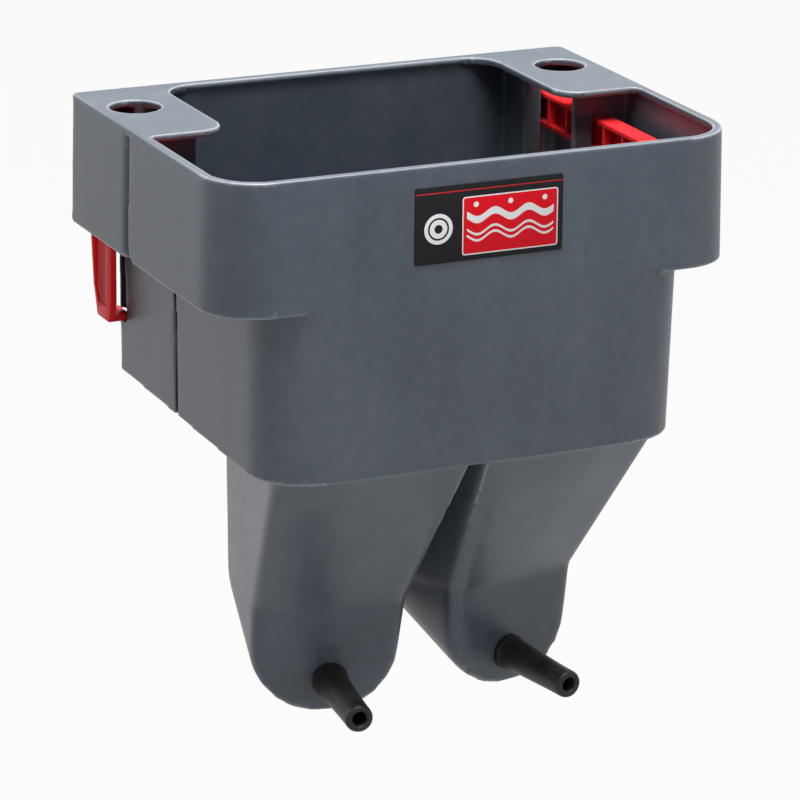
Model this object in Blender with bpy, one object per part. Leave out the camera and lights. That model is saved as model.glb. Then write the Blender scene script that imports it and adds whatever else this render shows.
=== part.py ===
# Teat milk feeder that hangs on a rail
# X runs to the right, -Y to the front where the calves drink, +Z up.
# The origin lies on the flat rear wall, halfway across the tank.

import bmesh
import bpy
from math import cos, pi, radians, sin, tan
from mathutils import Matrix, Vector

# Tank band and rim
RIM_Z = 0.120
TANK_WIDTH = 0.460
TANK_DEPTH = 0.326
BAND_HEIGHT = 0.110
BAND_FLARE = radians(0.9)
FRONT_CORNER_R = 0.047
REAR_CORNER_R = 0.005
WALL = 0.006
RIM_WALL = 0.008
REAR_RIM = 0.010

# Lower body under the band
SIDE_STEP = 0.042
BODY_HEIGHT = 0.246
BODY_FALL = 0.009
BODY_DRAFT = radians(0.9)

# Ledges over the rear corners
LEDGE_THICKNESS = 0.006
LEDGE_LENGTH = 0.157
LEDGE_WIDTH = 0.0775
LEDGE_CORNER_R = 0.023
MOUTH_REAR_R = 0.025
FINGER_HOLE_R = 0.0215
FINGER_HOLE_INSET = 0.033
FINGER_HOLE_Y = -0.063

# Pockets under the ledges, where the brackets slide
POCKET_LENGTH = 0.127
GROOVE_WIDTH = 0.006
EAR_CORNER_R = 0.008
BAND_CORNER_R = 0.013
BODY_GROOVE_DEPTH = 0.008
BAFFLE_REACH = 0.057
SILL_DEPTH = 0.086
COLUMN_LENGTH = 0.045
PARKING_LENGTH = 0.018
PARKING_DEPTH = 0.008
PARKING_WALL = 0.003

# Teat wells, turned outwards about the vertical
WELL_SPLAY = radians(12.0)
WELL_TOP_AHEAD = 0.014
WELL_CREASE_BEHIND = 0.093
WELL_LOW_BEHIND = 0.0985
WELL_TOP_FRONT = TANK_DEPTH + WELL_TOP_AHEAD
WELL_CREASE_FRONT = TANK_DEPTH - WELL_CREASE_BEHIND
WELL_LOW_FRONT = TANK_DEPTH - WELL_LOW_BEHIND
WELL_TOP_REAR = 0.116
WELL_LOW_REAR = 0.1095
WELL_TOP_INNER = -0.0615
WELL_CREASE_INNER = -0.028
WELL_LOW_INNER = -0.024
WELL_TOP_OUTER = 0.108
WELL_LOW_OUTER = 0.104
WELL_BOTTOM_DEPTH = 0.501
WELL_BOTTOM_RISE = 0.051
WELL_LOW_DEPTH = WELL_BOTTOM_DEPTH - WELL_BOTTOM_RISE
WELL_FRONT_HEIGHT = 0.098
WELL_CREASE_DEPTH = WELL_BOTTOM_DEPTH - WELL_FRONT_HEIGHT
WELL_FLOOR_SLOPE = 0.39
WELL_CORNER_R = 0.011
WELL_TOP_INNER_FRONT_R = 0.027
WELL_INNER_REAR_R = 0.018
WELL_BOTTOM_FLAT = 0.008
WELL_BOTTOM_REAR_R = 0.027
WELL_FRONT_EDGE_R = 0.006
WELL_SET_BACK = 0.0006

# Slide brackets
BRACKET_INSET = 0.030
BRACKET_X = TANK_WIDTH / 2 - BRACKET_INSET
ARM_DEPTH = 0.029
ARM_HEIGHT = 0.029
ARM_WIDTH = 0.017
FLANGE = 0.0035
WEB = 0.005
RECESSED_WEB = 0.0024
ARM_FRONT_Y = -0.2665
HEAD_LENGTH = 0.008
HEAD_MARGIN = 0.004
RIB_PITCH = 0.034
LEG_FRONT_Y = -0.020
LEG_REAR_Y = 0.020
LEG_DEPTH = 0.200
LEG_TAPER = 0.008
LEG_FLANGE_END = 0.176
LEG_BAND = 0.013
FOOT_THICKNESS = 0.006
FOOT_FRONT_Y = -0.0145
GUSSET = 0.008
BEND_R = 0.008
SEAT_PAD = 0.0005
SEAT_PAD_END = 0.003

# Teats
TEAT_ACROSS = 0.037
TEAT_ABOVE_BOTTOM = 0.030
TEAT_DEPTH = WELL_BOTTOM_DEPTH - TEAT_ABOVE_BOTTOM
TEAT_LENGTH = 0.0905
TEAT_BEND = radians(4.0)
TEAT_BEND_LENGTH = 0.020
TEAT_NECK_R = 0.0120
TEAT_COLLAR_R = 0.0154
TEAT_COLLAR_LENGTH = 0.006
TEAT_ROOT_R = 0.0142
TEAT_TIP_R = 0.0119
TEAT_LIP_R = 0.0030
TEAT_BORE_R = 0.0066
TEAT_BORE_ROOT_R = 0.0080
TEAT_FLANGE_R = 0.0180
TEAT_FLANGE = 0.004

# Label plate on the front
LABEL_WIDTH = 0.131
LABEL_HEIGHT = 0.063
LABEL_THICKNESS = 0.0008
LABEL_DROP = 0.017
LABEL_CORNER_R = 0.002

# Gaps between pieces
SEAT_GAP = 0.0003
SLIDE_GAP = 0.0010
SLOT_GAP = 0.0020
OVERLAP = 0.010


# Scene and materials
def clear_scene():
    for item in list(bpy.data.objects):
        bpy.data.objects.remove(item, do_unlink=True)


def material(name, colour, roughness, metallic=0.0):
    made = bpy.data.materials.new(name)
    made.use_nodes = True
    shader = made.node_tree.nodes["Principled BSDF"]
    shader.inputs["Base Color"].default_value = (*colour, 1.0)
    shader.inputs["Roughness"].default_value = roughness
    shader.inputs["Metallic"].default_value = metallic
    return made


# Mesh helpers
def add_object(name, mesh_data, finish=None):
    made = bpy.data.objects.new(name, mesh_data)
    bpy.context.collection.objects.link(made)
    if finish is not None:
        mesh_data.materials.append(finish)
    return made


def loft(name, rings, closed=False):
    """Skin through rings of points that run the same way round, first ring lowest."""
    shape = bmesh.new()
    rows = [[shape.verts.new(point) for point in ring] for ring in rings]
    count = len(rings[0])
    pairs = list(zip(rows, rows[1:] + rows[:1])) if closed else list(zip(rows, rows[1:]))
    for lower, upper in pairs:
        for i in range(count):
            j = (i + 1) % count
            shape.faces.new((lower[i], lower[j], upper[j], upper[i]))
    if not closed:
        shape.faces.new(list(reversed(rows[0])))
        shape.faces.new(rows[-1])
    data = bpy.data.meshes.new(name)
    shape.to_mesh(data)
    shape.free()
    return data


def rounded(corners):
    """Outline through (x, y, radius, steps) corners, each corner an arc."""
    points = []
    count = len(corners)
    for i, (x, y, radius, steps) in enumerate(corners):
        here = Vector((x, y))
        back = (Vector(corners[i - 1][:2]) - here).normalized()
        ahead = (Vector(corners[(i + 1) % count][:2]) - here).normalized()
        if radius <= 0.0 or steps < 1:
            points.append((x, y))
            continue
        half_angle = back.angle(ahead) / 2.0
        reach = radius / tan(half_angle)
        centre = here + (back + ahead).normalized() * (radius / sin(half_angle))
        start = here + back * reach - centre
        end = here + ahead * reach - centre
        turn = start.angle_signed(end)
        for k in range(steps + 1):
            angle = -turn * k / steps
            spin = Matrix.Rotation(angle, 2)
            points.append(tuple(centre + spin @ start))
    return points


def prism(name, outline, axis, start, end):
    """Straight block of an outline, pushed along X, Y or Z."""
    def place(a, b, along):
        if axis == "X":
            return (along, a, b)
        if axis == "Y":
            return (b, along, a)
        return (a, b, along)
    lower = [place(a, b, start) for a, b in outline]
    upper = [place(a, b, end) for a, b in outline]
    return loft(name, [lower, upper])


def block(name, low, high):
    outline = [(low[0], low[1]), (high[0], low[1]), (high[0], high[1]), (low[0], high[1])]
    return prism(name, outline, "Z", low[2], high[2])


def side_block(name, side, inner, outer, front, rear, bottom, top):
    """Block on one side of the tank, from its inner to its outer distance."""
    low_x, high_x = sorted((side * inner, side * outer))
    return block(name, (low_x, front, bottom), (high_x, rear, top))


def guide(name, data):
    """Helper solid that only shapes another one."""
    made = add_object(name, data)
    made.hide_render = True
    made.display_type = "WIRE"
    return made


def combine(target, tool, operation):
    step = target.modifiers.new(tool.name, "BOOLEAN")
    step.operation = operation
    step.solver = "EXACT"
    step.object = tool


def add(target, name, data):
    combine(target, guide(name, data), "UNION")


def cut(target, name, data):
    combine(target, guide(name, data), "DIFFERENCE")


def down(depth):
    """Height of a place that lies this far under the rim."""
    return RIM_Z - depth


# Outlines of the tank
def band_ring(depth, inset, height=None):
    flare = tan(BAND_FLARE) * depth
    half = TANK_WIDTH / 2 + flare - inset
    front = -(TANK_DEPTH + flare) + inset
    front_r = FRONT_CORNER_R - inset
    rear_r = max(REAR_CORNER_R - inset, 0.001)
    z = down(depth) if height is None else height
    outline = rounded([
        (-half, front, front_r, 8),
        (half, front, front_r, 8),
        (half, -inset, rear_r, 2),
        (-half, -inset, rear_r, 2),
    ])
    return [(x, y, z) for x, y in outline]


def body_half(depth):
    shrink = tan(BODY_DRAFT) * (depth - BAND_HEIGHT)
    return TANK_WIDTH / 2 + tan(BAND_FLARE) * BAND_HEIGHT - SIDE_STEP - shrink


def body_front(depth):
    shrink = tan(BODY_DRAFT) * (depth - BAND_HEIGHT)
    return -(TANK_DEPTH + tan(BAND_FLARE) * BAND_HEIGHT - shrink)


def body_ring(depth, inset, fall=0.0, lift=0.0):
    half = body_half(depth) - inset
    front = body_front(depth) + inset
    front_r = FRONT_CORNER_R - inset
    rear_r = max(REAR_CORNER_R - inset, 0.001)
    outline = rounded([
        (-half, front, front_r, 8),
        (half, front, front_r, 8),
        (half, -inset, rear_r, 2),
        (-half, -inset, rear_r, 2),
    ])
    return [(x, y, down(depth) + lift + fall * y / TANK_DEPTH) for x, y in outline]


# Outline of a teat well, in its own turned frame
def well_point(side, across, ahead, z):
    x = across * cos(WELL_SPLAY) + ahead * sin(WELL_SPLAY)
    y = across * sin(WELL_SPLAY) - ahead * cos(WELL_SPLAY)
    return (side * x, y, z)


def well_ring(side, depth, inset, round_off=0.0, slope=0.0):
    """Section of a well; round_off from 0 to 1 draws it in towards the bottom."""
    high = max(min((WELL_CREASE_DEPTH - depth) / (WELL_CREASE_DEPTH - BODY_HEIGHT), 1.0), 0.0)
    low = max(min((depth - WELL_CREASE_DEPTH) / (WELL_LOW_DEPTH - WELL_CREASE_DEPTH), 1.0), 0.0)
    front = WELL_CREASE_FRONT + (WELL_TOP_FRONT - WELL_CREASE_FRONT) * high
    front += (WELL_LOW_FRONT - WELL_CREASE_FRONT) * low
    rear = WELL_LOW_REAR + (WELL_TOP_REAR - WELL_LOW_REAR) * high
    inner = WELL_CREASE_INNER + (WELL_TOP_INNER - WELL_CREASE_INNER) * high
    inner += (WELL_LOW_INNER - WELL_CREASE_INNER) * low
    outer = WELL_LOW_OUTER + (WELL_TOP_OUTER - WELL_LOW_OUTER) * high
    edge_r = max(WELL_FRONT_EDGE_R - inset, 0.0)
    sunk = max(edge_r - (WELL_BOTTOM_DEPTH - inset - depth), 0.0)
    front_face = front - inset - edge_r + (edge_r ** 2 - sunk ** 2) ** 0.5
    half = (outer - inner) / 2 - inset
    pull = (half - WELL_BOTTOM_FLAT / 2) * round_off
    rear_face = rear + inset + max(WELL_BOTTOM_REAR_R - inset, 0.0) * round_off
    inner_side = inner + inset + pull
    outer_side = outer - inset - pull
    room = 0.9 * (half - pull)
    radius = min(max(WELL_CORNER_R - inset, 0.004), room)
    inner_front_r = WELL_CORNER_R + (WELL_TOP_INNER_FRONT_R - WELL_CORNER_R) * high - inset
    inner_front_r = min(max(inner_front_r, 0.004), room)
    face_start = outer_side - radius
    face_width = face_start - inner_side - inner_front_r
    face = [(face_start - face_width * k / 5, front_face, 0.0, 0) for k in range(1, 5)]
    outline = rounded([
        (inner_side, rear_face, min(WELL_INNER_REAR_R - inset, room), 4),
        (outer_side, rear_face, radius, 4),
        (outer_side, front_face, radius, 4),
        *face,
        (inner_side, front_face, inner_front_r, 5),
    ])
    front_limit = body_front(BODY_HEIGHT) + WELL_SET_BACK + inset
    ring = []
    for across, ahead in outline:
        rise = slope * (front - ahead)
        x, y, z = well_point(side, across, ahead, down(depth) + rise)
        ring.append((x, max(y, front_limit), z))
    return ring if side < 0 else list(reversed(ring))


def well_rings(side, inset, top_depth):
    """Sections from the rounded bottom up to the top."""
    rings = []
    steps = 6
    for k in range(steps, -1, -1):
        angle = pi / 2 * k / steps
        depth = WELL_LOW_DEPTH + (WELL_BOTTOM_RISE - inset) * sin(angle)
        rings.append(well_ring(side, depth, inset, 1 - cos(angle), WELL_FLOOR_SLOPE))
    crease = well_ring(side, WELL_CREASE_DEPTH, inset)
    top = well_ring(side, BODY_HEIGHT, inset)
    for k in range(6):
        rings.append([tuple(Vector(low).lerp(high, k / 5)) for low, high in zip(crease, top)])
    rings.append(well_ring(side, top_depth, inset))
    return rings


# Places shared by the tank and the brackets
BAFFLE_REAR_Y = -(POCKET_LENGTH + REAR_CORNER_R)
BAFFLE_FRONT_Y = BAFFLE_REAR_Y - WALL
BAFFLE_INNER_X = TANK_WIDTH / 2 - BAFFLE_REACH
LEDGE_INNER_X = TANK_WIDTH / 2 - LEDGE_WIDTH
BODY_SIDE_X = body_half(BAND_HEIGHT)
ARM_TOP_Z = down(ARM_DEPTH)
ARM_BOTTOM_Z = down(ARM_DEPTH + ARM_HEIGHT)
LEG_BOTTOM_Z = down(LEG_DEPTH)
PARKING_INNER_X = body_half(LEG_DEPTH) - PARKING_DEPTH


def mouth_outline():
    """Plan of the opening: wide in front, narrower between the two ledges."""
    side = TANK_WIDTH / 2 - RIM_WALL
    front = -(TANK_DEPTH - RIM_WALL)
    front_r = FRONT_CORNER_R - RIM_WALL
    right = [
        (side, front, front_r, 8),
        (side, -LEDGE_LENGTH, 0.006, 3),
        (LEDGE_INNER_X, -LEDGE_LENGTH, LEDGE_CORNER_R, 5),
        (LEDGE_INNER_X, -REAR_RIM, MOUTH_REAR_R, 5),
    ]
    left = [(-x, y, r, n) for x, y, r, n in reversed(right)]
    return rounded(left[-1:] + right + left[:-1])


def make_cavity():
    """The hollow of the tank, with the ribs and columns left standing."""
    floor = [body_ring(BODY_HEIGHT, WALL, BODY_FALL, WALL)]
    flare = tan(BAND_FLARE) * BAND_HEIGHT
    walls = [
        body_ring(BAND_HEIGHT, WALL),
        body_ring(BAND_HEIGHT, WALL + flare, 0.0, BAND_HEIGHT - LEDGE_THICKNESS)]
    cavity = guide("cavity", loft("cavity", floor + walls))
    front_room = prism("front_room", rounded([
        (-TANK_WIDTH / 2 + WALL, -TANK_DEPTH + WALL, FRONT_CORNER_R - WALL, 8),
        (TANK_WIDTH / 2 - WALL, -TANK_DEPTH + WALL, FRONT_CORNER_R - WALL, 8),
        (TANK_WIDTH / 2 - WALL, BAFFLE_FRONT_Y, 0.004, 2),
        (-TANK_WIDTH / 2 + WALL, BAFFLE_FRONT_Y, 0.004, 2),
    ]), "Z", down(BAND_HEIGHT - WALL), down(LEDGE_THICKNESS))
    add(cavity, "front_room", front_room)
    for side, tag in ((-1, "left"), (1, "right")):
        rings = well_rings(side, WALL, BODY_HEIGHT - 2 * OVERLAP)
        add(cavity, f"well_hollow_{tag}", loft("well_hollow", rings))
    for side, tag in ((-1, "left"), (1, "right")):
        reach = BODY_SIDE_X + OVERLAP
        rib_front = BAFFLE_REAR_Y - WALL
        rib_rear = BAFFLE_REAR_Y + GROOVE_WIDTH + WALL
        cut(cavity, f"baffle_{tag}", side_block(
            "baffle", side, BAFFLE_INNER_X, TANK_WIDTH / 2, rib_front, BAFFLE_REAR_Y,
            down(BAND_HEIGHT), down(0.0)))
        cut(cavity, f"groove_rib_{tag}", side_block(
            "groove_rib", side, BAFFLE_INNER_X, reach, rib_front, rib_rear,
            down(BODY_HEIGHT + BODY_FALL), down(SILL_DEPTH)))
        cut(cavity, f"column_{tag}", side_block(
            "column", side, BAFFLE_INNER_X, reach, -COLUMN_LENGTH, 0.0,
            down(LEG_DEPTH + WALL), down(0.0)))
    return cavity


def corner_cutter(name, side, y, z, radius):
    """What is left of a square when a quarter circle rounds the lower rear corner at (y, z)."""
    steps = 5
    outline = [(y + OVERLAP / 2, z - OVERLAP / 2), (y + OVERLAP / 2, z + radius)]
    for k in range(steps + 1):
        angle = pi / 2 * k / steps
        outline.append((y - radius * (1 - cos(angle)), z + radius * (1 - sin(angle))))
    outline.append((y - radius, z - OVERLAP / 2))
    inner, outer = BODY_SIDE_X, TANK_WIDTH / 2 + OVERLAP
    low_x, high_x = sorted((side * inner, side * outer))
    return prism(name, outline, "X", low_x, high_x)


def cut_side(tank, side, tag):
    """Pocket, groove, bracket openings and parking recess on one side."""
    skin = TANK_WIDTH / 2 - WALL
    under = down(BAND_HEIGHT) - OVERLAP
    cut(tank, f"pocket_{tag}", side_block(
        "pocket", side, BODY_SIDE_X, skin, BAFFLE_REAR_Y, -WALL, under, down(LEDGE_THICKNESS)))
    cut(tank, f"window_{tag}", side_block(
        "window", side, BAFFLE_INNER_X - OVERLAP, BODY_SIDE_X + WALL / 2, BAFFLE_REAR_Y,
        -COLUMN_LENGTH, down(SILL_DEPTH), down(LEDGE_THICKNESS)))
    groove_rear = BAFFLE_REAR_Y + GROOVE_WIDTH
    cut(tank, f"band_groove_{tag}", side_block(
        "band_groove", side, skin - WALL / 2, TANK_WIDTH / 2 + OVERLAP, BAFFLE_REAR_Y,
        groove_rear, under, down(LEDGE_THICKNESS)))
    cut(tank, f"body_groove_{tag}", side_block(
        "body_groove", side, BODY_SIDE_X - BODY_GROOVE_DEPTH, BODY_SIDE_X + OVERLAP,
        BAFFLE_REAR_Y, groove_rear, down(BODY_HEIGHT + BODY_FALL) - OVERLAP, down(BAND_HEIGHT)))
    cut(tank, f"arm_hole_{tag}", side_block(
        "arm_hole", side, BRACKET_X - ARM_WIDTH / 2 - SLIDE_GAP, BRACKET_X + ARM_WIDTH / 2 + SLIDE_GAP,
        BAFFLE_FRONT_Y - OVERLAP, BAFFLE_REAR_Y + WALL / 2,
        ARM_BOTTOM_Z - SEAT_GAP, ARM_TOP_Z + SLIDE_GAP))
    cut(tank, f"leg_slot_{tag}", side_block(
        "leg_slot", side, BRACKET_X - ARM_WIDTH / 2 - SLOT_GAP, BRACKET_X + ARM_WIDTH / 2 + SLOT_GAP,
        -WALL - OVERLAP, OVERLAP, under, ARM_TOP_Z + SLIDE_GAP))
    cut(tank, f"parking_{tag}", side_block(
        "parking", side, PARKING_INNER_X, BODY_SIDE_X + OVERLAP, -PARKING_LENGTH, -PARKING_WALL,
        LEG_BOTTOM_Z - SLIDE_GAP, down(BAND_HEIGHT)))
    cut(tank, f"foot_slot_{tag}", side_block(
        "foot_slot", side, PARKING_INNER_X, BODY_SIDE_X + OVERLAP, -PARKING_LENGTH, OVERLAP,
        LEG_BOTTOM_Z - SLIDE_GAP, LEG_BOTTOM_Z + FOOT_THICKNESS + SLIDE_GAP))
    for name, y, radius in (
            ("ear_corner", 0.0, EAR_CORNER_R), ("band_corner", BAFFLE_REAR_Y, BAND_CORNER_R)):
        cut(tank, f"{name}_{tag}", corner_cutter(name, side, y, down(BAND_HEIGHT), radius))
    hole_x = side * (TANK_WIDTH / 2 - FINGER_HOLE_INSET)
    hole = []
    for k in range(32):
        angle = 2 * pi * k / 32
        hole.append((hole_x + FINGER_HOLE_R * cos(angle), FINGER_HOLE_Y + FINGER_HOLE_R * sin(angle)))
    cut(tank, f"finger_hole_{tag}", prism(
        "finger_hole", hole, "Z", down(LEDGE_THICKNESS) - OVERLAP, down(0.0) + OVERLAP))


def make_tank(plastic):
    """One-piece moulded tank with two teat wells."""
    lower = [body_ring(BODY_HEIGHT, 0.0, BODY_FALL), body_ring(BAND_HEIGHT, 0.0)]
    lower.append(body_ring(BAND_HEIGHT - OVERLAP, WALL / 2))
    band = [band_ring(BAND_HEIGHT, 0.0), band_ring(0.0, 0.0)]
    tank = add_object("tank_shell", loft("tank_shell", band), plastic)
    add(tank, "lower_body", loft("lower_body", lower))
    for side, tag in ((-1, "left"), (1, "right")):
        rings = well_rings(side, 0.0, BODY_HEIGHT - OVERLAP)
        add(tank, f"well_{tag}", loft("well", rings))
    combine(tank, make_cavity(), "DIFFERENCE")
    mouth = prism("mouth", mouth_outline(), "Z", down(LEDGE_THICKNESS + WALL / 2), down(0.0) + OVERLAP)
    cut(tank, "mouth", mouth)
    for side, tag in ((-1, "left"), (1, "right")):
        cut_side(tank, side, tag)
        cut(tank, f"teat_hole_{tag}", teat_hole(side))
    return tank


# Teats, swept along a line that leaves the wall squarely and bends a little inwards
def teat_frame(side, along):
    """Centre and direction of the teat at a distance from the outer wall face."""
    curved = min(max(along, 0.0), TEAT_BEND_LENGTH)
    straight = max(along - TEAT_BEND_LENGTH, 0.0)
    bend = TEAT_BEND * curved / TEAT_BEND_LENGTH
    across = TEAT_ACROSS - bend * (curved / 2 + straight)
    ahead = WELL_LOW_FRONT + along
    centre = Vector(well_point(side, across, ahead, down(TEAT_DEPTH)))
    heading = Vector(well_point(side, -sin(bend), cos(bend), 0.0))
    return centre, heading.normalized()


def teat_ring(side, along, radius, steps):
    centre, heading = teat_frame(side, along)
    up = Vector((0.0, 0.0, 1.0))
    sideways = heading.cross(up).normalized()
    ring = []
    for k in range(steps):
        angle = 2 * pi * k / steps
        ring.append(tuple(centre + radius * (cos(angle) * sideways + sin(angle) * up)))
    return ring


def teat_hole(side):
    reach = WALL + TEAT_FLANGE + OVERLAP
    rings = [teat_ring(side, along, TEAT_NECK_R + SEAT_GAP, 20) for along in (OVERLAP, -reach)]
    return loft("teat_hole", rings)


def teat_profile():
    """Radius against distance, from the inner flange out to the tip and back up the bore."""
    back = -(WALL + SEAT_GAP)
    collar = SEAT_GAP
    root = collar + TEAT_COLLAR_LENGTH
    outside = [
        (back - TEAT_FLANGE, TEAT_FLANGE_R - 0.001), (back - TEAT_FLANGE / 2, TEAT_FLANGE_R),
        (back, TEAT_FLANGE_R), (back, TEAT_NECK_R), (collar, TEAT_NECK_R),
        (collar, TEAT_COLLAR_R), (root - 0.002, TEAT_COLLAR_R), (root, TEAT_ROOT_R),
    ]
    barrel = TEAT_LENGTH - TEAT_LIP_R
    steps = 6
    for k in range(1, steps + 1):
        share = k / steps
        radius = TEAT_ROOT_R + (TEAT_TIP_R - TEAT_ROOT_R) * share ** 0.8
        outside.append((root + (barrel - root) * share, radius))
    lip = []
    for k in range(1, 5):
        angle = pi / 2 * k / 4
        lip.append((barrel + TEAT_LIP_R * sin(angle), TEAT_TIP_R - TEAT_LIP_R * (1 - cos(angle))))
    bore = [
        (TEAT_LENGTH, TEAT_BORE_R + 0.0010), (TEAT_LENGTH - 0.002, TEAT_BORE_R),
        (TEAT_LENGTH / 2, TEAT_BORE_R), (root, TEAT_BORE_ROOT_R),
        (back - TEAT_FLANGE, TEAT_BORE_ROOT_R),
    ]
    return outside + lip + bore


def make_teat(side, tag, rubber):
    rings = [teat_ring(side, along, radius, 20) for along, radius in teat_profile()]
    rings.reverse()
    teat = add_object(f"teat_{tag}", loft(f"teat_{tag}", rings, closed=True), rubber)
    teat.data.shade_smooth()
    teat.data.set_sharp_from_angle(angle=radians(40))
    return teat


# Slide brackets
def bracket_outline():
    """Side view of a bracket: arm on top, leg behind it."""
    taper = LEG_TAPER
    return rounded([
        (ARM_FRONT_Y, ARM_BOTTOM_Z, 0.0, 0),
        (LEG_FRONT_Y, ARM_BOTTOM_Z, BEND_R, 4),
        (LEG_FRONT_Y, LEG_BOTTOM_Z + 3 * FOOT_THICKNESS, 0.0, 0),
        (FOOT_FRONT_Y, LEG_BOTTOM_Z, 0.0, 0),
        (LEG_REAR_Y - taper, LEG_BOTTOM_Z, 0.002, 2),
        (LEG_REAR_Y, down(LEG_FLANGE_END), 0.0, 0),
        (LEG_REAR_Y, ARM_TOP_Z, BEND_R, 4),
        (ARM_FRONT_Y, ARM_TOP_Z, 0.0, 0),
    ])


def plate(side, name, outline, half_width):
    """Upright plate of a side outline, centred on the bracket's own plane."""
    middle = side * BRACKET_X
    return prism(name, outline, "X", middle - half_width, middle + half_width)


def arm_recesses():
    """Front and rear end of each recess between the arm's ribs."""
    ends = []
    start = ARM_FRONT_Y + HEAD_LENGTH
    while start + FLANGE + 2 * FLANGE < LEG_FRONT_Y:
        end = min(start + RIB_PITCH, LEG_FRONT_Y)
        ends.append((start + FLANGE / 2, end - FLANGE / 2))
        start = end
    return ends


def make_bracket(side, tag, plastic):
    """Moulded L of arm, leg and foot, stiffened by flanges and ribs."""
    half = ARM_WIDTH / 2
    web = WEB / 2
    bracket = add_object(
        f"bracket_{tag}", plate(side, f"bracket_{tag}", bracket_outline(), web), plastic)
    arm = rounded([
        (ARM_FRONT_Y + HEAD_LENGTH / 2, ARM_BOTTOM_Z, 0.0, 0),
        (LEG_FRONT_Y, ARM_BOTTOM_Z, BEND_R, 4),
        (LEG_FRONT_Y, down(LEG_FLANGE_END), 0.0, 0),
        (LEG_REAR_Y, down(LEG_FLANGE_END), 0.0, 0),
        (LEG_REAR_Y, ARM_TOP_Z, BEND_R, 4),
        (ARM_FRONT_Y + HEAD_LENGTH / 2, ARM_TOP_Z, 0.0, 0),
    ])
    add(bracket, f"arm_{tag}", plate(side, "arm", arm, half))
    for face in (-1, 1):
        low = side * BRACKET_X + face * RECESSED_WEB / 2
        high = side * BRACKET_X + face * (half + OVERLAP)
        low_x, high_x = sorted((low, high))
        for k, (front, rear) in enumerate(arm_recesses()):
            outline = [
                (front, ARM_BOTTOM_Z + FLANGE), (rear, ARM_BOTTOM_Z + FLANGE),
                (rear, ARM_TOP_Z - FLANGE), (front, ARM_TOP_Z - FLANGE),
            ]
            cut(bracket, f"arm_recess_{tag}_{face}_{k}", prism("recess", outline, "X", low_x, high_x))
        trim_low, trim_high = sorted((side * BRACKET_X + face * web, high))
        trim = [
            (LEG_FRONT_Y - OVERLAP, down(LEG_FLANGE_END) - OVERLAP),
            (LEG_REAR_Y - FLANGE, down(LEG_FLANGE_END) - OVERLAP),
            (LEG_REAR_Y - FLANGE, ARM_TOP_Z - FLANGE),
            (LEG_FRONT_Y + FLANGE / 2, ARM_TOP_Z - FLANGE),
            (LEG_FRONT_Y + FLANGE / 2, ARM_BOTTOM_Z),
            (LEG_FRONT_Y - OVERLAP, ARM_BOTTOM_Z),
        ]
        cut(bracket, f"leg_trim_{tag}_{face}", prism("leg_trim", trim, "X", trim_low, trim_high))
        leg_low, leg_high = sorted((side * BRACKET_X + face * RECESSED_WEB / 2, high))
        recess = [
            (LEG_FRONT_Y + LEG_BAND, LEG_BOTTOM_Z + 2 * FOOT_THICKNESS),
            (LEG_REAR_Y - LEG_TAPER - FLANGE / 2, LEG_BOTTOM_Z + 2 * FOOT_THICKNESS),
            (LEG_REAR_Y - FLANGE, down(LEG_FLANGE_END)),
            (LEG_REAR_Y - FLANGE, ARM_BOTTOM_Z),
            (LEG_FRONT_Y + LEG_BAND, ARM_BOTTOM_Z),
        ]
        cut(bracket, f"leg_recess_{tag}_{face}", prism("leg_recess", recess, "X", leg_low, leg_high))
        slant = side_slant(side, face, half, web)
        cut(bracket, f"flange_taper_{tag}_{face}", slant)
    add(bracket, f"seat_pad_{tag}", side_block(
        "seat_pad", side, BRACKET_X - half, BRACKET_X + half, BAFFLE_REAR_Y + SEAT_PAD_END,
        LEG_FRONT_Y - BEND_R - SEAT_PAD_END, ARM_BOTTOM_Z - SEAT_PAD, ARM_BOTTOM_Z + FLANGE / 2))
    add_head_and_foot(bracket, side, tag)
    return bracket


def side_slant(side, face, half, web):
    """Wedge that narrows the rear flange from the arm's width to the web's."""
    start = ARM_BOTTOM_Z
    end = down(LEG_FLANGE_END) - OVERLAP / 2
    middle = side * BRACKET_X
    outline = [
        (start, middle + face * half),
        (start, middle + face * (half + OVERLAP)),
        (end, middle + face * (half + OVERLAP)),
        (end, middle + face * web),
    ]
    if face < 0:
        outline.reverse()
    return prism("flange_taper", outline, "Y", LEG_REAR_Y - FLANGE - OVERLAP, LEG_REAR_Y + OVERLAP)


def add_head_and_foot(bracket, side, tag):
    """Stop head at the arm's front end, and the foot at the leg's lower end."""
    add(bracket, f"head_{tag}", side_block(
        "head", side, BRACKET_X - ARM_WIDTH / 2 - HEAD_MARGIN, BRACKET_X + ARM_WIDTH / 2 + HEAD_MARGIN,
        ARM_FRONT_Y, ARM_FRONT_Y + HEAD_LENGTH,
        ARM_BOTTOM_Z - HEAD_MARGIN, ARM_TOP_Z + HEAD_MARGIN))
    foot_end = PARKING_INNER_X + SLIDE_GAP + WEB / 2
    add(bracket, f"foot_{tag}", side_block(
        "foot", side, foot_end, BRACKET_X + WEB / 2 - 0.0002, FOOT_FRONT_Y,
        LEG_REAR_Y - LEG_TAPER - 0.001, LEG_BOTTOM_Z + 0.0001, LEG_BOTTOM_Z + FOOT_THICKNESS))
    middle = BRACKET_X - WEB / 2
    gusset = [
        (LEG_BOTTOM_Z + FOOT_THICKNESS / 2, side * (middle + WEB / 4)),
        (LEG_BOTTOM_Z + FOOT_THICKNESS / 2, side * (middle - GUSSET)),
        (LEG_BOTTOM_Z + FOOT_THICKNESS, side * (middle - GUSSET)),
        (LEG_BOTTOM_Z + FOOT_THICKNESS + GUSSET, side * (middle + WEB / 4)),
    ]
    if side < 0:
        gusset.reverse()
    add(bracket, f"gusset_{tag}", prism("gusset", gusset, "Y", -WEB / 2, WEB / 2))


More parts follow.
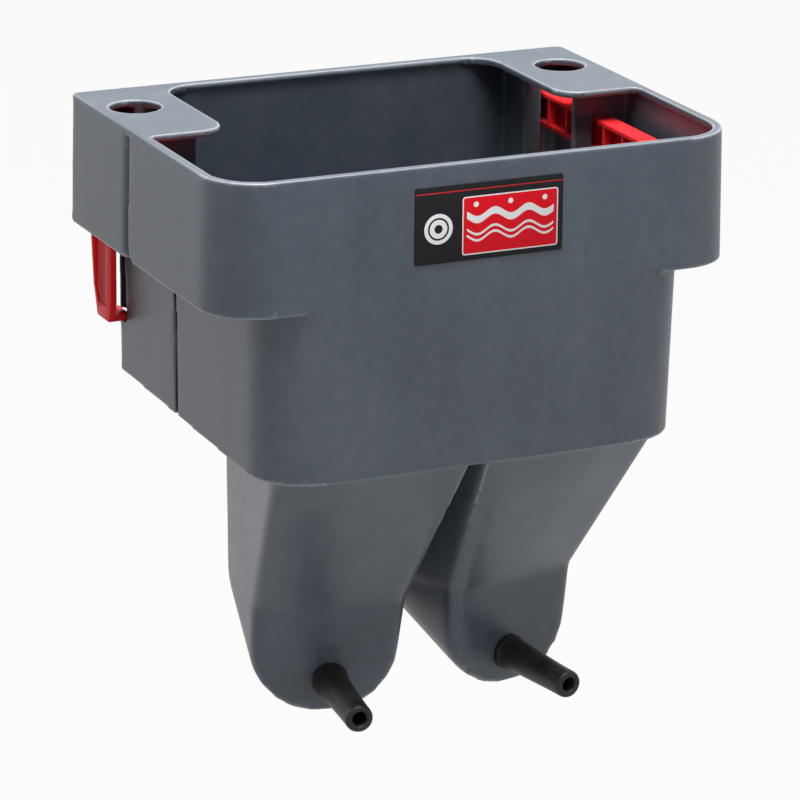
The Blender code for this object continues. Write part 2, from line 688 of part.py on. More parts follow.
# Label plate
def make_label(plastic):
    """Thin plate that lies on the leaning front face."""
    half = LABEL_WIDTH / 2
    outline = rounded([
        (-half, -LABEL_HEIGHT / 2, LABEL_CORNER_R, 3), (half, -LABEL_HEIGHT / 2, LABEL_CORNER_R, 3),
        (half, LABEL_HEIGHT / 2, LABEL_CORNER_R, 3), (-half, LABEL_HEIGHT / 2, LABEL_CORNER_R, 3),
    ])
    data = prism("label_plate", outline, "Z", 0.0, LABEL_THICKNESS)
    label = add_object("label_plate", data, plastic)
    middle = LABEL_DROP + LABEL_HEIGHT / 2
    face = -(TANK_DEPTH + tan(BAND_FLARE) * middle)
    label.rotation_euler = (pi / 2 - BAND_FLARE, 0.0, 0.0)
    label.location = (0.0, face - SEAT_GAP, down(middle))
    return label


clear_scene()
grey_plastic = material("grey_plastic", (0.16, 0.18, 0.20), 0.55)
red_plastic = material("red_plastic", (0.62, 0.04, 0.05), 0.35)
black_rubber = material("black_rubber", (0.02, 0.02, 0.02), 0.6)
label_print = material("label_print", (0.02, 0.02, 0.022), 0.4)
make_tank(grey_plastic)
for side, tag in ((-1, "left"), (1, "right")):
    make_bracket(side, tag, red_plastic)
    make_teat(side, tag, black_rubber)
make_label(label_print)
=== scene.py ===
from math import cos, pi, radians, sin

import bmesh
import bpy
import numpy as np
from mathutils import Matrix, Vector


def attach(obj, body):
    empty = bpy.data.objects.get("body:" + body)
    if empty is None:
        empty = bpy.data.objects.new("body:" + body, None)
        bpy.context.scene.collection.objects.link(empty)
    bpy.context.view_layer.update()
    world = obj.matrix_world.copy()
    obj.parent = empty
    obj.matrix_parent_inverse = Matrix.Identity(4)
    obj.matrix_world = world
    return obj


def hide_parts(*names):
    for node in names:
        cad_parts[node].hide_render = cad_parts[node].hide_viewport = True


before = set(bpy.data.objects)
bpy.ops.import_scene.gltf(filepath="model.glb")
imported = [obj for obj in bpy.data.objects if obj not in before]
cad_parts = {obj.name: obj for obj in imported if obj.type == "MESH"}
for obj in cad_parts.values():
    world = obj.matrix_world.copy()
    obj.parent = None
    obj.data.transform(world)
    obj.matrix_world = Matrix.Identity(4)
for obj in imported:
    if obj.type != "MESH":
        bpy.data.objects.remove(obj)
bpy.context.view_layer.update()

# Camera
# A long lens stands well back on the left of the front, a little over the rim. Its place and turn are
# fitted to how the rim, the band and the wells lie in the photograph.
EYE = Vector((-1.4605, -3.2417, 0.994))
YAW = radians(25.41)
PITCH = radians(18.25)
ROLL = radians(0.93)
LENS_MM = 191.5
SENSOR_MM = 36.0
FAR_END = 30.0

forward = Vector((sin(YAW) * cos(PITCH), cos(YAW) * cos(PITCH), -sin(PITCH)))
right = Vector((cos(YAW), -sin(YAW), 0.0))
up = right.cross(forward)
leaning_right = cos(ROLL) * right + sin(ROLL) * up
leaning_up = cos(ROLL) * up - sin(ROLL) * right
lens = bpy.data.cameras.new("studio_lens")
lens.lens = LENS_MM
lens.sensor_width = SENSOR_MM
lens.clip_end = FAR_END
camera = bpy.data.objects.new("studio_camera", lens)
turn = Matrix((leaning_right, leaning_up, -forward)).transposed().to_4x4()
camera.matrix_world = Matrix.Translation(EYE) @ turn
bpy.context.scene.collection.objects.link(camera)
bpy.context.scene.camera = camera
bpy.context.scene.view_settings.view_transform = "Standard"


# Studio floor and light
# Seamless white paper under the hanging feeder, in a white room. One large soft lamp hangs overhead, one
# stands behind on the left, and a low one in front fills the shade without a shine.
class Value:
    """A number on its way through a material, so that sums can be written as sums."""

    def __init__(self, tree, link):
        self.tree = tree
        self.link = link

    def _math(self, operation, first, second=None, clamp=False):
        node = self.tree.nodes.new("ShaderNodeMath")
        node.operation = operation
        node.use_clamp = clamp
        for socket, given in zip(node.inputs, (first, second)):
            if isinstance(given, Value):
                self.tree.links.new(given.link, socket)
            elif given is not None:
                socket.default_value = given
        return Value(self.tree, node.outputs[0])

    def __add__(self, other):
        return self._math("ADD", self, other)

    __radd__ = __add__

    def __sub__(self, other):
        return self._math("SUBTRACT", self, other)

    def __rsub__(self, other):
        return self._math("SUBTRACT", other, self)

    def __mul__(self, other):
        return self._math("MULTIPLY", self, other)

    __rmul__ = __mul__

    def __truediv__(self, other):
        return self._math("DIVIDE", self, other)

    def __abs__(self):
        return self._math("ABSOLUTE", self)

    def over(self, limit):
        return self._math("GREATER_THAN", self, limit)

    def under(self, limit):
        return self._math("LESS_THAN", self, limit)

    def most(self, other):
        return self._math("MAXIMUM", self, other)

    def least(self, other):
        return self._math("MINIMUM", self, other)

    def root(self):
        return self._math("SQRT", self)

    def sine(self):
        return self._math("SINE", self)

    def cosine(self):
        return self._math("COSINE", self)

    def within(self):
        """The number, held between 0 and 1."""
        return self._math("ADD", self, 0.0, clamp=True)


class Nodes:
    """A node tree that is written line by line."""

    def __init__(self, tree):
        self.tree = tree

    def node(self, kind, settings=None, **inputs):
        """Any node: its settings first, then its sockets by name, or by number as _0, _1."""
        made = self.tree.nodes.new(kind)
        for key, value in (settings or {}).items():
            if key == "ramp":
                self._ramp(made.color_ramp, value)
            elif key == "curve":
                self._curve(made.mapping, value)
            else:
                setattr(made, key, value)
        for key, value in inputs.items():
            self.feed(made.inputs[int(key[1:]) if key[1:].isdigit() else key], value)
        return made

    def _ramp(self, ramp, stops):
        while len(ramp.elements) < len(stops):
            ramp.elements.new(0.5)
        for element, (place, colour) in zip(ramp.elements, stops):
            element.position = place
            element.color = (*colour, 1.0)

    def _curve(self, mapping, heights):
        line = mapping.curves[0]
        last = len(heights) - 1
        line.points[0].location = (0.0, heights[0])
        line.points[1].location = (1.0, heights[-1])
        for k in range(1, last):
            line.points.new(k / last, heights[k])
        for point in line.points:
            point.handle_type = "VECTOR"
        mapping.update()

    def feed(self, socket, value):
        if isinstance(value, Value):
            self.tree.links.new(value.link, socket)
        elif isinstance(value, bpy.types.NodeSocket):
            self.tree.links.new(value, socket)
        else:
            socket.default_value = value

    def value(self, socket):
        return Value(self.tree, socket)

    def seen_directly(self):
        """1 for rays to the camera, off gloss and through clear things, 0 for rays that bring light."""
        path = self.node("ShaderNodeLightPath")
        rays = [self.value(path.outputs[f"Is {kind} Ray"]) for kind in ("Camera", "Glossy", "Transmission")]
        return rays[0].most(rays[1]).most(rays[2])


class Finish(Nodes):
    """One material: its mean colour and roughness at first, which its nodes may then vary."""

    def __init__(self, name, colour, roughness):
        self.material = bpy.data.materials.new(name)
        self.material.use_nodes = True
        super().__init__(self.material.node_tree)
        self.shader = self.tree.nodes["Principled BSDF"]
        self.shader.inputs["Base Color"].default_value = (*colour, 1.0)
        self.shader.inputs["Roughness"].default_value = roughness

    def place(self):
        return self.node("ShaderNodeTexCoord").outputs["Object"]

    def noise(self, scale, detail=3.0, stretch=None):
        place = self.place()
        if stretch is not None:
            place = self.node("ShaderNodeMapping", Vector=place, Scale=stretch).outputs[0]
        made = self.node("ShaderNodeTexNoise", Vector=place, Scale=scale, Detail=detail)
        return self.value(made.outputs["Fac"])

    def mix(self, share, first, second):
        made = self.node("ShaderNodeMix", {"data_type": "RGBA"})
        self.feed(made.inputs[0], share)
        self.feed(made.inputs[6], first)
        self.feed(made.inputs[7], second)
        return made.outputs[2]

    def bump(self, height, distance, strength=1.0):
        made = self.node("ShaderNodeBump", Height=height, Distance=distance, Strength=strength)
        self.feed(self.shader.inputs["Normal"], made.outputs[0])


FLOOR_Z = -0.62
FLOOR_SIZE = 14.0
PAPER_GREY = (0.27, 0.27, 0.27)
PAPER_GLOW = 0.95
ROOM_LIGHT = 0.05
WHITE = (1.0, 1.0, 1.0, 1.0)

floor_mesh = bpy.data.meshes.new("paper_floor")
half_floor = FLOOR_SIZE / 2
floor_mesh.from_pydata(
    [(x * half_floor, y * half_floor, FLOOR_Z) for x, y in ((-1, -1), (1, -1), (1, 1), (-1, 1))],
    [], [(0, 1, 2, 3)])
paper_floor = bpy.data.objects.new("paper_floor", floor_mesh)
bpy.context.scene.collection.objects.link(paper_floor)
paper = Finish("white_paper", PAPER_GREY, 0.9)
glow = paper.node("ShaderNodeEmission", Color=WHITE, Strength=1.0)
blend = paper.node(
    "ShaderNodeMixShader", _0=paper.seen_directly() * PAPER_GLOW,
    _1=paper.shader.outputs[0], _2=glow.outputs[0])
paper.feed(paper.tree.nodes["Material Output"].inputs[0], blend.outputs[0])
floor_mesh.materials.append(paper.material)

room_world = bpy.data.worlds.new("white_room")
room_world.use_nodes = True
room = Nodes(room_world.node_tree)
dim = room.tree.nodes["Background"]
dim.inputs["Color"].default_value = WHITE
dim.inputs["Strength"].default_value = ROOM_LIGHT
white = room.node("ShaderNodeBackground", Color=WHITE, Strength=1.0)
blend = room.node(
    "ShaderNodeMixShader", _0=room.seen_directly(), _1=dim.outputs[0], _2=white.outputs[0])
room.feed(room.tree.nodes["World Output"].inputs[0], blend.outputs[0])
bpy.context.scene.world = room_world


def soft_lamp(name, place, aim, width, height, watts, mirrored=True):
    """A flat soft lamp, sized in metres; one that isn't mirrored leaves no shine on gloss."""
    lamp = bpy.data.lights.new(name, "AREA")
    lamp.shape = "RECTANGLE"
    lamp.size = width
    lamp.size_y = height
    lamp.energy = watts
    made = bpy.data.objects.new(name, lamp)
    made.location = place
    made.visible_glossy = mirrored
    made.rotation_euler = (Vector(aim) - Vector(place)).to_track_quat("-Z", "Y").to_euler()
    bpy.context.scene.collection.objects.link(made)


soft_lamp(
    "top_softbox", place=(0.1, -0.36, 2.1), aim=(0.0, -0.3, 0.0), width=2.0, height=1.2, watts=132.0)
soft_lamp(
    "left_softbox", place=(-2.1, 1.6, 0.8), aim=(0.0, -0.15, -0.1), width=1.4, height=1.8, watts=22.5)
soft_lamp(
    "front_softbox", place=(0.0, -2.9, -0.2), aim=(0.0, -0.2, -0.1), width=1.6, height=0.6, watts=22.0,
    mirrored=False)


# Tank
# One hollow moulding of dark grey polyethylene, turned in a hot mould, so every edge is soft and the skin
# is faintly mottled. The solid is taken over as it is, its facets are smoothed, its edges rounded, and the
# outer edges get a painted highlight.
JOIN_DISTANCE = 0.00002
EAR_FRONT = -0.126
EAR_TOP = 0.1135
EAR_BOTTOM = 0.005
EAR_OUT_TOP = 0.2301
EAR_OUT_BOTTOM = 0.2318
EAR_EDGE_R = 0.006
EAR_STEPS = 6
SKIN_GRAIN = 0.0015
SMOOTH_SHARE = 0.5
EDGE_ROUNDS = 6
FLAT_BEND = 0.06
FLAT_ROUNDS = 60
FLAT_SPREAD = 4
WEIGHT_STEPS = 8
TANK_TRIANGLES = 185000
EDGE_START = 0.03
EDGE_BEND = 0.12
SMALLEST_STEP = 1e-7


def merged_copy(node, name):
    """A closed copy of a solid, whose loose triangles are joined."""
    made = bpy.data.objects.new(name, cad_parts[node].data.copy())
    bpy.context.scene.collection.objects.link(made)
    shape = bmesh.new()
    shape.from_mesh(made.data)
    bmesh.ops.remove_doubles(shape, verts=shape.verts, dist=JOIN_DISTANCE)
    shape.to_mesh(made.data)
    shape.free()
    made.data.materials.clear()
    return made


def finished(piece, finish=None):
    """The piece with its modifiers made final, as a plain mesh."""
    seen_now = piece.evaluated_get(bpy.context.evaluated_depsgraph_get())
    made = bpy.data.meshes.new_from_object(seen_now)
    piece.modifiers.clear()
    piece.data = made
    if finish is not None:
        made.materials.clear()
        made.materials.append(finish.material)
    made.shade_smooth()
    return piece


def ear_corner(side):
    """What is left of a square bar when the ear's front upright edge, beside the groove, is round."""
    corner = bmesh.new()
    rows = []
    for height, out in ((EAR_BOTTOM, EAR_OUT_BOTTOM), (EAR_TOP, EAR_OUT_TOP)):
        inner, outer = out - EAR_EDGE_R, out + EAR_EDGE_R
        ahead = EAR_FRONT - EAR_EDGE_R
        outline = [(outer, EAR_FRONT), (outer, ahead), (inner, ahead), (inner, EAR_FRONT)]
        for k in range(1, EAR_STEPS + 1):
            angle = pi / 2 * k / EAR_STEPS
            outline.append((inner + EAR_EDGE_R * sin(angle), EAR_FRONT + EAR_EDGE_R * (1 - cos(angle))))
        outline.append((outer, EAR_FRONT + EAR_EDGE_R))
        rows.append([corner.verts.new((side * x, y, height)) for x, y in outline])
    low, high = rows
    count = len(low)
    for k in range(count):
        after = (k + 1) % count
        corner.faces.new((low[k], low[after], high[after], high[k]))
    corner.faces.new(low)
    corner.faces.new(high)
    bmesh.ops.recalc_face_normals(corner, faces=corner.faces)
    data = bpy.data.meshes.new("ear_corner")
    corner.to_mesh(data)
    corner.free()
    made = bpy.data.objects.new("ear_corner", data)
    bpy.context.scene.collection.objects.link(made)
    return made


def bend_at_points(mesh):
    """How far each point stands out from its neighbours, above 0 on outer edges, and who they are."""
    count = len(mesh.vertices)
    points = np.empty(count * 3)
    mesh.vertices.foreach_get("co", points)
    points = points.reshape(-1, 3)
    normals = np.empty(count * 3)
    mesh.vertex_normals.foreach_get("vector", normals)
    normals = normals.reshape(-1, 3)
    pairs = np.empty(len(mesh.edges) * 2, dtype=np.int64)
    mesh.edges.foreach_get("vertices", pairs)
    one, two = pairs.reshape(-1, 2).T
    step = points[two] - points[one]
    length = np.maximum(np.linalg.norm(step, axis=1), SMALLEST_STEP)
    ties = np.maximum(np.bincount(one, minlength=count) + np.bincount(two, minlength=count), 1)
    bend = np.bincount(one, -(normals[one] * step).sum(axis=1) / length, count)
    bend += np.bincount(two, (normals[two] * step).sum(axis=1) / length, count)
    return bend / ties, (one, two, ties)


def spread_out(values, neighbours, rounds):
    """The values, each drawn towards its neighbours' mean in every round."""
    one, two, ties = neighbours
    for _ in range(rounds):
        total = np.bincount(one, values[two], len(values)) + np.bincount(two, values[one], len(values))
        values = (1.0 - SMOOTH_SHARE) * values + SMOOTH_SHARE * total / ties
    return values


def smoothing(piece, name, rounds):
    made = piece.modifiers.new(name, "SMOOTH")
    made.factor = SMOOTH_SHARE
    made.iterations = rounds
    return made


tank = merged_copy("tank_shell", "moulded_tank")
for side in (-1, 1):
    tool = ear_corner(side)
    trim = tank.modifiers.new("ear_corner", "BOOLEAN")
    trim.operation = "DIFFERENCE"
    trim.solver = "EXACT"
    trim.object = tool
    finished(tank)
    bpy.data.objects.remove(tool)
grain = tank.modifiers.new("grain", "REMESH")
grain.mode = "VOXEL"
grain.voxel_size = SKIN_GRAIN
smoothing(tank, "soften", EDGE_ROUNDS)
finished(tank)

# The solid's facets are smoothed, and the more so the further a point is from any edge
bend, neighbours = bend_at_points(tank.data)
flat = (np.abs(spread_out(bend, neighbours, 1)) < FLAT_BEND).astype(float)
flat = np.clip(2.0 * spread_out(flat, neighbours, FLAT_SPREAD) - 1.0, 0.0, 1.0)
weight = np.round(flat * WEIGHT_STEPS).astype(int)
flats = tank.vertex_groups.new(name="flats")
for step in range(1, WEIGHT_STEPS + 1):
    flats.add([int(k) for k in np.flatnonzero(weight == step)], step / WEIGHT_STEPS, "REPLACE")
smoothing(tank, "settle", FLAT_ROUNDS).vertex_group = "flats"
thin = tank.modifiers.new("thin", "DECIMATE")
thin.ratio = min(1.0, TANK_TRIANGLES / (2.0 * len(tank.data.polygons)))
finished(tank)

# Outer edges are painted paler, a painted highlight where the rounded edges catch the light
bend, neighbours = bend_at_points(tank.data)
edge_highlight = np.clip((spread_out(bend, neighbours, 2) - EDGE_START) / EDGE_BEND, 0.0, 1.0)
stored = tank.data.attributes.new("worn_edge", "FLOAT", "POINT")
stored.data.foreach_set("value", edge_highlight.astype(np.float32))

DEEP_GREY = (0.046, 0.059, 0.078)
MIDDLE_GREY = (0.064, 0.079, 0.101)
PALE_GREY = (0.088, 0.104, 0.127)
MEAN_GREY = (0.066, 0.080, 0.096)
HIGHLIGHT_GREY = (0.34, 0.36, 0.39, 1.0)
grey = Finish("moulded_grey_plastic", MEAN_GREY, 0.40)
cloud = grey.noise(7.0, 4.0)
mottle = grey.noise(95.0, 3.0)
speck = grey.noise(800.0, 2.0)
streak = grey.noise(30.0, 3.0, (1.0, 1.0, 0.12))
shade = cloud * 0.4 + mottle * 0.25 + speck * 0.15 + streak * 0.2
ramp = grey.node(
    "ShaderNodeValToRGB", {"ramp": ((0.36, DEEP_GREY), (0.50, MIDDLE_GREY), (0.64, PALE_GREY))}, Fac=shade)
edge = grey.value(grey.node("ShaderNodeAttribute", {"attribute_name": "worn_edge"}).outputs["Fac"])
# The paler grey on outer edges, broken up by the mottle, is a painted highlight
highlight_share = (edge * (mottle * 0.8 + 0.6)).within() * 0.8
grey.feed(grey.shader.inputs["Base Color"], grey.mix(highlight_share, ramp.outputs[0], HIGHLIGHT_GREY))
grey.feed(grey.shader.inputs["Roughness"], (mottle * 0.14 + cloud * 0.10 + 0.27).within())
grey.bump(grey.noise(260.0, 2.0) * 0.6 + speck * 0.4, distance=0.00015, strength=0.35)
finished(tank, grey)
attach(tank, "tank")
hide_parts("tank_shell")


# Slide brackets
# Each is one injection moulding of red plastic: an I-shaped arm with ribs, a leg and a foot. The arm slides
# through its holes in the tank. The recess floors are painted a deeper red as painted shade.
BEVEL_ANGLE = radians(32.0)
CREASE_ANGLE = radians(50.0)
SAME_FACE_ANGLE = radians(1.0)
BRACKET_EDGE = 0.0005
BRACKET_X = 0.200
RECESS_FLOOR = 0.0016
ARM_LOW = 0.0655
ARM_HIGH = 0.0875
ARM_FRONT = -0.2600
ARM_REAR = -0.0200
LEG_RECESS_FRONT = -0.0070
LEG_RECESS_REAR = 0.0165
# Painted shade on the recess floors: how far each is darkened towards the deepest red
ARM_RECESS_SHADE = 0.8
LEG_RECESS_SHADE = 0.10
LEG_SHADE_TOWARD_FRONT = 0.75


def bevelled(node, name, width, finish):
    """A solid taken over with whole faces and small bevels on its edges."""
    piece = merged_copy(node, name)
    shape = bmesh.new()
    shape.from_mesh(piece.data)
    bmesh.ops.dissolve_limit(
        shape, angle_limit=SAME_FACE_ANGLE, verts=shape.verts, edges=shape.edges)
    shape.to_mesh(piece.data)
    shape.free()
    edge = piece.modifiers.new("edge", "BEVEL")
    edge.width = width
    edge.segments = 2
    edge.limit_method = "ANGLE"
    edge.angle_limit = BEVEL_ANGLE
    edge.use_clamp_overlap = True
    finished(piece, finish)
    piece.data.set_sharp_from_angle(angle=CREASE_ANGLE)
    return piece


# The deepest red is the painted shade of the recess floors
SHADE_RED = (0.20, 0.003, 0.008, 1.0)
DULL_RED = (0.80, 0.022, 0.028, 1.0)
BRIGHT_RED = (0.92, 0.034, 0.040, 1.0)
red = Finish("glossy_red_plastic", (0.86, 0.028, 0.034), 0.36)
red.shader.inputs["Specular IOR Level"].default_value = 0.05
flow = red.noise(26.0, 3.0, (1.0, 0.25, 1.0))
spot = red.node("ShaderNodeSeparateXYZ", _0=red.place())
floor = abs(abs(red.value(spot.outputs[0])) - BRACKET_X).under(RECESS_FLOOR)
along = red.value(spot.outputs[1])
height = red.value(spot.outputs[2])
leg_recess = floor * height.under(ARM_LOW) * along.over(LEG_RECESS_FRONT) * along.under(LEG_RECESS_REAR)
arm_recess = floor * height.over(ARM_LOW) * height.under(ARM_HIGH) * along.over(ARM_FRONT)
arm_recess = arm_recess * along.under(ARM_REAR)
# Painted shade: the leg's recess floor darkens towards its front band, the arm's evenly
toward_front = ((LEG_RECESS_REAR - along) / (LEG_RECESS_REAR - LEG_RECESS_FRONT)).within()
leg_shade = toward_front * LEG_SHADE_TOWARD_FRONT + LEG_RECESS_SHADE
painted_shade = (leg_recess * leg_shade + arm_recess * ARM_RECESS_SHADE).within()
red.feed(red.shader.inputs["Base Color"], red.mix(painted_shade, red.mix(flow, DULL_RED, BRIGHT_RED), SHADE_RED))
red.feed(red.shader.inputs["Roughness"], red.noise(300.0, 2.0) * 0.14 + 0.24)
red.bump(red.noise(400.0, 2.0), distance=0.0001, strength=0.25)
for side in ("left", "right"):
    bracket = bevelled(f"bracket_{side}", f"slide_bracket_{side}", BRACKET_EDGE, red)
    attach(bracket, f"bracket_{side}")
    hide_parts(f"bracket_{side}")


# Teats
# Each is one moulding of soft black rubber: a flange inside the wall, a neck through it, a collar, a
# tapered barrel with an open bore and a thick round lip. It leaves the wall squarely and bends a little.
TEAT_ACROSS = 0.037
TEAT_AHEAD = 0.2275
TEAT_HEIGHT = -0.351
TEAT_SPLAY = radians(12.0)
TEAT_BEND = radians(4.0)
TEAT_BEND_LENGTH = 0.020
TEAT_REACH = 0.12
TEAT_WIDEST = 0.02
TEAT_BACK = 0.0104
TEAT_ROUND = 64
TEAT_JOIN = 0.00001

# Distance from the wall and radius, in millimetres, from the flange to the lip and back down the bore
TEAT_LINE = (
    (-10.3, 17.0), (-8.3, 18.0), (-6.3, 18.0), (-6.3, 12.0), (0.3, 12.0), (0.3, 15.0), (1.2, 15.4),
    (4.2, 15.3), (5.4, 14.9), (6.4, 14.3), (9.0, 14.1), (16.0, 13.7), (26.0, 13.3), (38.0, 12.9),
    (52.0, 12.5), (66.0, 12.1), (78.0, 11.9), (85.5, 11.9), (87.6, 11.8), (89.2, 11.2), (90.1, 10.3),
    (90.5, 9.2), (90.4, 8.0), (89.9, 6.9), (88.8, 6.1), (86.5, 5.8), (80.0, 6.0), (60.0, 6.4),
    (6.3, 8.0), (-10.3, 8.0), (-10.3, 17.0))


def teat_tree(rubber):
    """A flat grid rolled round the teat's own line, with the sizes as inputs."""
    tree = bpy.data.node_groups.new("rolled_teat", "GeometryNodeTree")
    tree.interface.new_socket("Geometry", in_out="OUTPUT", socket_type="NodeSocketGeometry")
    sizes = {}
    for name in ("Side", "Across", "Ahead", "Height", "Splay", "Bend", "Bend length"):
        sizes[name] = tree.interface.new_socket(name, in_out="INPUT", socket_type="NodeSocketFloat")
    shape = Nodes(tree)
    given = shape.node("NodeGroupInput").outputs
    size = {name: shape.value(given[name]) for name in sizes}
    rows = len(TEAT_LINE)
    sheet = shape.node(
        "GeometryNodeMeshGrid", _0=1.0, _1=1.0, _2=TEAT_ROUND + 1, _3=rows).outputs["Mesh"]
    flat = shape.node("ShaderNodeSeparateXYZ", _0=shape.node("GeometryNodeInputPosition").outputs[0])
    around = (shape.value(flat.outputs[0]) + 0.5) * (2.0 * pi)
    row = shape.value(flat.outputs[1]) + 0.5
    reach = [(along / 1000 + TEAT_BACK) / TEAT_REACH for along, _ in TEAT_LINE]
    width = [radius / 1000 / TEAT_WIDEST for _, radius in TEAT_LINE]
    along = shape.value(shape.node("ShaderNodeFloatCurve", {"curve": reach}, Value=row).outputs[0])
    along = along * TEAT_REACH - TEAT_BACK
    radius = shape.value(shape.node("ShaderNodeFloatCurve", {"curve": width}, Value=row).outputs[0])
    radius = radius * TEAT_WIDEST
    curved = along.most(0.0).least(size["Bend length"])
    straight = (along - size["Bend length"]).most(0.0)
    turn = size["Bend"] * curved / size["Bend length"]
    across = size["Across"] - turn * (curved * 0.5 + straight)
    ahead = size["Ahead"] + along
    lean = size["Splay"] - turn
    spread = radius * around.cosine()
    x = size["Side"] * (across * size["Splay"].cosine() + ahead * size["Splay"].sine())
    y = across * size["Splay"].sine() - ahead * size["Splay"].cosine()
    x = x - spread * lean.cosine()
    y = y - spread * size["Side"] * lean.sine()
    z = size["Height"] + radius * around.sine()
    rolled = shape.node("ShaderNodeCombineXYZ", _0=x, _1=y, _2=z).outputs[0]
    sheet = shape.node("GeometryNodeSetPosition", Geometry=sheet, Position=rolled).outputs[0]
    sheet = shape.node("GeometryNodeMergeByDistance", Geometry=sheet, Distance=TEAT_JOIN).outputs[0]
    sheet = shape.node("GeometryNodeRealizeInstances", Geometry=sheet).outputs[0]
    sheet = shape.node("GeometryNodeSetMaterial", Geometry=sheet, Material=rubber.material).outputs[0]
    shape.node("NodeGroupOutput", _0=sheet)
    return tree, {name: socket.identifier for name, socket in sizes.items()}


def rolled_teat(side_name, side, tree, identifiers):
    """One teat as a plain mesh, with its faces turned outwards."""
    name = f"rubber_teat_{side_name}"
    piece = bpy.data.objects.new(name, bpy.data.meshes.new(name))
    bpy.context.scene.collection.objects.link(piece)
    roll = piece.modifiers.new("roll", "NODES")
    roll.node_group = tree
    for size, value in (
            ("Side", side), ("Across", TEAT_ACROSS), ("Ahead", TEAT_AHEAD), ("Height", TEAT_HEIGHT),
            ("Splay", TEAT_SPLAY), ("Bend", TEAT_BEND), ("Bend length", TEAT_BEND_LENGTH)):
        roll[identifiers[size]] = float(value)
    finished(piece)
    shape = bmesh.new()
    shape.from_mesh(piece.data)
    bmesh.ops.remove_doubles(shape, verts=shape.verts, dist=TEAT_JOIN)
    bmesh.ops.recalc_face_normals(shape, faces=shape.faces)
    shape.to_mesh(piece.data)
    shape.free()
    piece.data.shade_smooth()
    piece.data.set_sharp_from_angle(angle=CREASE_ANGLE)
    return piece


DARK_RUBBER = (0.004, 0.0035, 0.003, 1.0)
DUSTY_RUBBER = (0.032, 0.028, 0.024, 1.0)
rubber = Finish("black_teat_rubber", (0.014, 0.0125, 0.011), 0.5)
rubber.shader.inputs["Specular IOR Level"].default_value = 0.3
dust = rubber.noise(210.0, 4.0)
rub = rubber.noise(38.0, 3.0)
dusty = (dust * 1.4 + rub * 1.4 - 0.95).within()
rubber.feed(rubber.shader.inputs["Base Color"], rubber.mix(dusty, DARK_RUBBER, DUSTY_RUBBER))
rubber.feed(rubber.shader.inputs["Roughness"], dust * 0.18 + rub * 0.16 + 0.32)
rubber.bump(dust, distance=0.0002, strength=0.5)
teat_nodes, teat_sizes = teat_tree(rubber)
for side_name, side in (("left", -1), ("right", 1)):
    teat = rolled_teat(side_name, side, teat_nodes, teat_sizes)
    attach(teat, "tank")
    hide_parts(f"teat_{side_name}")


# Label
# A printed film, glued to the front of the band: black ground, a red panel with plain waves and drops on
# the right, a pale round badge on the left and a thin red line over both, all without words.
LABEL_MIDDLE_Z = 0.0715
LABEL_EDGE = 0.0002
PRINT_EDGE = 0.00025
LINE_HEIGHT = 0.0265
LINE_REACH = 0.0655
LINE_HALF = 0.00045
LINE_CORNER = 0.0002
PANEL_X = 0.0185
PANEL_Z = -0.0030
FRAME_SIZE = (0.0425, 0.0240, 0.0025)
PANEL_SIZE = (0.0415, 0.0230, 0.0018)
WAVE_FIELD = (0.0385, 0.0200, 0.0008)
WAVE_SWING = 0.0032
WAVE_LENGTH = 0.030
WAVE_SHIFT = 0.6
WAVES = ((0.0045, 0.0030), (-0.0075, 0.0010), (-0.0125, 0.0010))
DROPS_X = (-0.012, 0.0185, 0.049)
DROPS_Z = 0.0140
DROP_R = 0.0022
BADGE_X = -0.0450
BADGE_R = 0.0125
RING_R = 0.0085
RING_HALF = 0.0008
BADGE_MIDDLE_R = 0.0036
INK_BLACK = (0.012, 0.012, 0.014, 1.0)
INK_RED = (0.70, 0.008, 0.018, 1.0)
INK_DARK_RED = (0.50, 0.02, 0.02, 1.0)
INK_WHITE = (0.78, 0.78, 0.78, 1.0)

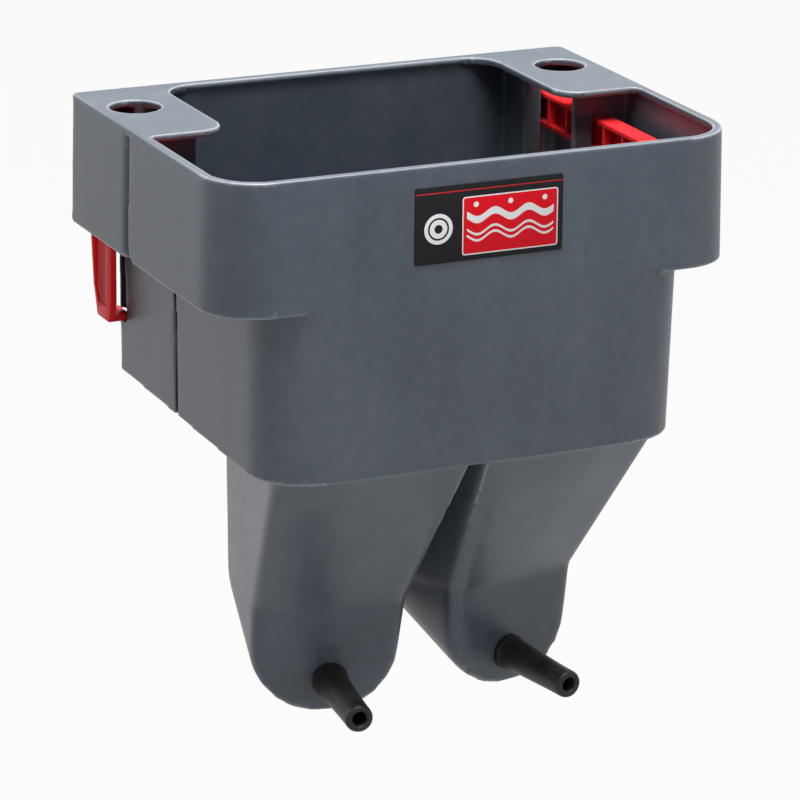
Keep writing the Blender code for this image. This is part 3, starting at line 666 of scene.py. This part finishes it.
film = Finish("printed_film", INK_BLACK[:3], 0.34)
film.shader.inputs["Specular IOR Level"].default_value = 0.12
spot = film.node("ShaderNodeSeparateXYZ", _0=film.place())
label_x = film.value(spot.outputs[0])
label_z = film.value(spot.outputs[2]) - LABEL_MIDDLE_Z


def inked(distance):
    """1 where the signed distance to a shape's outline is inside it, 0 outside."""
    return (0.5 - distance / PRINT_EDGE).within()


def panel(centre_x, centre_z, half_width, half_height, corner):
    """Signed distance to a panel with round corners."""
    out_x = (abs(label_x - centre_x) - (half_width - corner)).most(0.0)
    out_z = (abs(label_z - centre_z) - (half_height - corner)).most(0.0)
    return (out_x * out_x + out_z * out_z).root() - corner


def disc(centre_x, centre_z, radius):
    """Signed distance to a round spot."""
    out_x = label_x - centre_x
    out_z = label_z - centre_z
    return (out_x * out_x + out_z * out_z).root() - radius


def wave(middle, half_width):
    """Signed distance to a waved band."""
    line = (label_x * (2.0 * pi / WAVE_LENGTH) + WAVE_SHIFT).sine() * WAVE_SWING + middle
    return abs(label_z - line) - half_width


wave_field = panel(PANEL_X, PANEL_Z, *WAVE_FIELD)
prints = [
    (panel(0.0, LINE_HEIGHT, LINE_REACH, LINE_HALF, LINE_CORNER), INK_DARK_RED),
    (panel(PANEL_X, PANEL_Z, *FRAME_SIZE), INK_WHITE),
    (panel(PANEL_X, PANEL_Z, *PANEL_SIZE), INK_RED)]
prints += [(wave(middle, half_width).most(wave_field), INK_WHITE) for middle, half_width in WAVES]
prints += [(disc(drop_x, DROPS_Z, DROP_R), INK_WHITE) for drop_x in DROPS_X]
prints += [
    (disc(BADGE_X, PANEL_Z, BADGE_R), INK_WHITE),
    (abs(disc(BADGE_X, PANEL_Z, RING_R)) - RING_HALF, INK_BLACK),
    (disc(BADGE_X, PANEL_Z, BADGE_MIDDLE_R), INK_BLACK)]
print_now = INK_BLACK
for distance, ink in prints:
    print_now = film.mix(inked(distance), print_now, ink)
film.feed(film.shader.inputs["Base Color"], print_now)
film.feed(film.shader.inputs["Roughness"], film.noise(180.0, 3.0) * 0.12 + 0.26)
film.bump(film.noise(90.0, 2.0), distance=0.0001, strength=0.2)
label = bevelled("label_plate", "printed_label", LABEL_EDGE, film)
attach(label, "tank")
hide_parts("label_plate")
